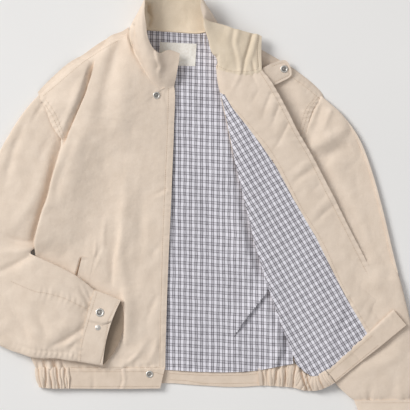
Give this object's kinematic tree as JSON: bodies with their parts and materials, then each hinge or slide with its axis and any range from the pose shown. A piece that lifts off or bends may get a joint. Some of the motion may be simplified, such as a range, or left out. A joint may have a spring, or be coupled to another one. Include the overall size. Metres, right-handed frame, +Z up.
{
  "type": "blouson jacket",
  "caption": "Short cotton blouson lying flat, one front folded open to show its checked lining, with a stand collar, snap cuffs and a waistband gathered at the sides.",
  "frame": {"origin": "centre of the bounding box in plan, on the surface that the jacket lies on", "axes": "+Z up from the surface, +Y towards the collar, +X towards the side of the opened front"},
  "size_m": [0.8061, 0.7445, 0.0459],
  "materials": {
    "shell_cotton": "sand coloured cotton twill, washed and slightly creased",
    "waistband_cotton": "the same twill doubled over, gathered on elastic at the sides",
    "facing_cotton": "sand coloured cotton twill facing",
    "lining_check": "light plain-weave cotton with a dark and white check",
    "label_tape": "blank off-white woven tape",
    "snap_metal": "nickel plated press snap"
  },
  "bodies": {
    "root": {"back_panel": "shell_cotton", "closed_front": "shell_cotton", "opened_front": "shell_cotton", "collar": "shell_cotton", "near_sleeve": "shell_cotton", "far_sleeve": "shell_cotton", "near_cuff": "shell_cotton", "far_cuff": "shell_cotton", "pocket_welt": "shell_cotton", "neck_tab": "shell_cotton", "closed_front_band": "waistband_cotton", "closed_side_band": "waistband_cotton", "back_band": "waistband_cotton", "opened_side_band": "waistband_cotton", "opened_front_band": "waistband_cotton", "opened_front_facing": "facing_cotton", "back_lining": "lining_check", "opened_front_lining": "lining_check", "neck_label": "label_tape", "neck_snap": "snap_metal", "hem_snap": "snap_metal", "tab_snap": "snap_metal", "near_cuff_snap": "snap_metal", "near_cuff_stud": "snap_metal", "far_cuff_snap": "snap_metal", "far_cuff_stud": "snap_metal"}
  },
  "joints": []
}
